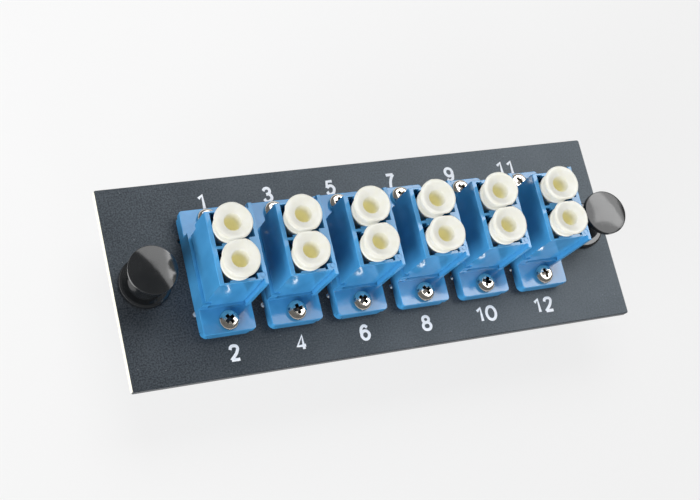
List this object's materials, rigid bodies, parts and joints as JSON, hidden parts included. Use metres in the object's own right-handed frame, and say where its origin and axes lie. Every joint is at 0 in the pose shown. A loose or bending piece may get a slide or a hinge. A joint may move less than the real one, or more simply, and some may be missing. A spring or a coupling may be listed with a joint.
{
  "type": "patch panel",
  "caption": "Steel patch panel plate with a row of duplex fibre adapters, dust caps in every port and a push-pull latch at each end.",
  "frame": {"origin": "middle of the plate's rear face, which lies against the enclosure", "axes": "+X along the row of adapters from number 1 to number 11, +Y towards the odd-numbered edge, +Z out of the plate's front face"},
  "size_m": [0.0952, 0.0352, 0.0341],
  "materials": {
    "powder_coated_steel": "fine-textured dark slate powder coat",
    "blue_plastic": "glossy moulded",
    "zirconia": "polished ceramic",
    "cap_polyethylene": "translucent ivory, soft sheen",
    "nickel_steel": "bright nickel plate",
    "black_nylon": "smooth gloss black"
  },
  "bodies": {
    "panel": {"panel_plate": "powder_coated_steel", "front_housing_1": "blue_plastic", "rear_housing_1": "blue_plastic", "split_sleeves_1": "zirconia", "front_housing_2": "blue_plastic", "rear_housing_2": "blue_plastic", "split_sleeves_2": "zirconia", "front_housing_3": "blue_plastic", "rear_housing_3": "blue_plastic", "split_sleeves_3": "zirconia", "front_housing_4": "blue_plastic", "rear_housing_4": "blue_plastic", "split_sleeves_4": "zirconia", "front_housing_5": "blue_plastic", "rear_housing_5": "blue_plastic", "split_sleeves_5": "zirconia", "front_housing_6": "blue_plastic", "rear_housing_6": "blue_plastic", "split_sleeves_6": "zirconia", "flange_screws": "nickel_steel", "grommet_left": "black_nylon", "grommet_right": "black_nylon"},
    "front_cap_01": {"front_cap_01": "cap_polyethylene"},
    "rear_cap_01": {"rear_cap_01": "cap_polyethylene"},
    "front_cap_02": {"front_cap_02": "cap_polyethylene"},
    "rear_cap_02": {"rear_cap_02": "cap_polyethylene"},
    "front_cap_03": {"front_cap_03": "cap_polyethylene"},
    "rear_cap_03": {"rear_cap_03": "cap_polyethylene"},
    "front_cap_04": {"front_cap_04": "cap_polyethylene"},
    "rear_cap_04": {"rear_cap_04": "cap_polyethylene"},
    "front_cap_05": {"front_cap_05": "cap_polyethylene"},
    "rear_cap_05": {"rear_cap_05": "cap_polyethylene"},
    "front_cap_06": {"front_cap_06": "cap_polyethylene"},
    "rear_cap_06": {"rear_cap_06": "cap_polyethylene"},
    "front_cap_07": {"front_cap_07": "cap_polyethylene"},
    "rear_cap_07": {"rear_cap_07": "cap_polyethylene"},
    "front_cap_08": {"front_cap_08": "cap_polyethylene"},
    "rear_cap_08": {"rear_cap_08": "cap_polyethylene"},
    "front_cap_09": {"front_cap_09": "cap_polyethylene"},
    "rear_cap_09": {"rear_cap_09": "cap_polyethylene"},
    "front_cap_10": {"front_cap_10": "cap_polyethylene"},
    "rear_cap_10": {"rear_cap_10": "cap_polyethylene"},
    "front_cap_11": {"front_cap_11": "cap_polyethylene"},
    "rear_cap_11": {"rear_cap_11": "cap_polyethylene"},
    "front_cap_12": {"front_cap_12": "cap_polyethylene"},
    "rear_cap_12": {"rear_cap_12": "cap_polyethylene"},
    "plunger_left": {"plunger_left": "black_nylon"},
    "plunger_right": {"plunger_right": "black_nylon"}
  },
  "joints": [
    {"name": "plunger_left_pull", "type": "slide", "parent": "panel", "child": "plunger_left", "axis": [0, 0, 1], "range_m": [0, 0.0055]},
    {"name": "plunger_right_pull", "type": "slide", "parent": "panel", "child": "plunger_right", "axis": [0, 0, 1], "range_m": [0, 0.0055]},
    {"name": "front_cap_01_pull", "type": "slide", "parent": "panel", "child": "front_cap_01", "axis": [0, 0, 1], "range_m": [0, 0.012]},
    {"name": "front_cap_02_pull", "type": "slide", "parent": "panel", "child": "front_cap_02", "axis": [0, 0, 1], "range_m": [0, 0.012]},
    {"name": "front_cap_03_pull", "type": "slide", "parent": "panel", "child": "front_cap_03", "axis": [0, 0, 1], "range_m": [0, 0.012]},
    {"name": "front_cap_04_pull", "type": "slide", "parent": "panel", "child": "front_cap_04", "axis": [0, 0, 1], "range_m": [0, 0.012]},
    {"name": "front_cap_05_pull", "type": "slide", "parent": "panel", "child": "front_cap_05", "axis": [0, 0, 1], "range_m": [0, 0.012]},
    {"name": "front_cap_06_pull", "type": "slide", "parent": "panel", "child": "front_cap_06", "axis": [0, 0, 1], "range_m": [0, 0.012]},
    {"name": "front_cap_07_pull", "type": "slide", "parent": "panel", "child": "front_cap_07", "axis": [0, 0, 1], "range_m": [0, 0.012]},
    {"name": "front_cap_08_pull", "type": "slide", "parent": "panel", "child": "front_cap_08", "axis": [0, 0, 1], "range_m": [0, 0.012]},
    {"name": "front_cap_09_pull", "type": "slide", "parent": "panel", "child": "front_cap_09", "axis": [0, 0, 1], "range_m": [0, 0.012]},
    {"name": "front_cap_10_pull", "type": "slide", "parent": "panel", "child": "front_cap_10", "axis": [0, 0, 1], "range_m": [0, 0.012]},
    {"name": "front_cap_11_pull", "type": "slide", "parent": "panel", "child": "front_cap_11", "axis": [0, 0, 1], "range_m": [0, 0.012]},
    {"name": "front_cap_12_pull", "type": "slide", "parent": "panel", "child": "front_cap_12", "axis": [0, 0, 1], "range_m": [0, 0.012]},
    {"name": "rear_cap_01_pull", "type": "slide", "parent": "panel", "child": "rear_cap_01", "axis": [0, 0, -1], "range_m": [0, 0.012]},
    {"name": "rear_cap_02_pull", "type": "slide", "parent": "panel", "child": "rear_cap_02", "axis": [0, 0, -1], "range_m": [0, 0.012]},
    {"name": "rear_cap_03_pull", "type": "slide", "parent": "panel", "child": "rear_cap_03", "axis": [0, 0, -1], "range_m": [0, 0.012]},
    {"name": "rear_cap_04_pull", "type": "slide", "parent": "panel", "child": "rear_cap_04", "axis": [0, 0, -1], "range_m": [0, 0.012]},
    {"name": "rear_cap_05_pull", "type": "slide", "parent": "panel", "child": "rear_cap_05", "axis": [0, 0, -1], "range_m": [0, 0.012]},
    {"name": "rear_cap_06_pull", "type": "slide", "parent": "panel", "child": "rear_cap_06", "axis": [0, 0, -1], "range_m": [0, 0.012]},
    {"name": "rear_cap_07_pull", "type": "slide", "parent": "panel", "child": "rear_cap_07", "axis": [0, 0, -1], "range_m": [0, 0.012]},
    {"name": "rear_cap_08_pull", "type": "slide", "parent": "panel", "child": "rear_cap_08", "axis": [0, 0, -1], "range_m": [0, 0.012]},
    {"name": "rear_cap_09_pull", "type": "slide", "parent": "panel", "child": "rear_cap_09", "axis": [0, 0, -1], "range_m": [0, 0.012]},
    {"name": "rear_cap_10_pull", "type": "slide", "parent": "panel", "child": "rear_cap_10", "axis": [0, 0, -1], "range_m": [0, 0.012]},
    {"name": "rear_cap_11_pull", "type": "slide", "parent": "panel", "child": "rear_cap_11", "axis": [0, 0, -1], "range_m": [0, 0.012]},
    {"name": "rear_cap_12_pull", "type": "slide", "parent": "panel", "child": "rear_cap_12", "axis": [0, 0, -1], "range_m": [0, 0.012]}
  ]
}
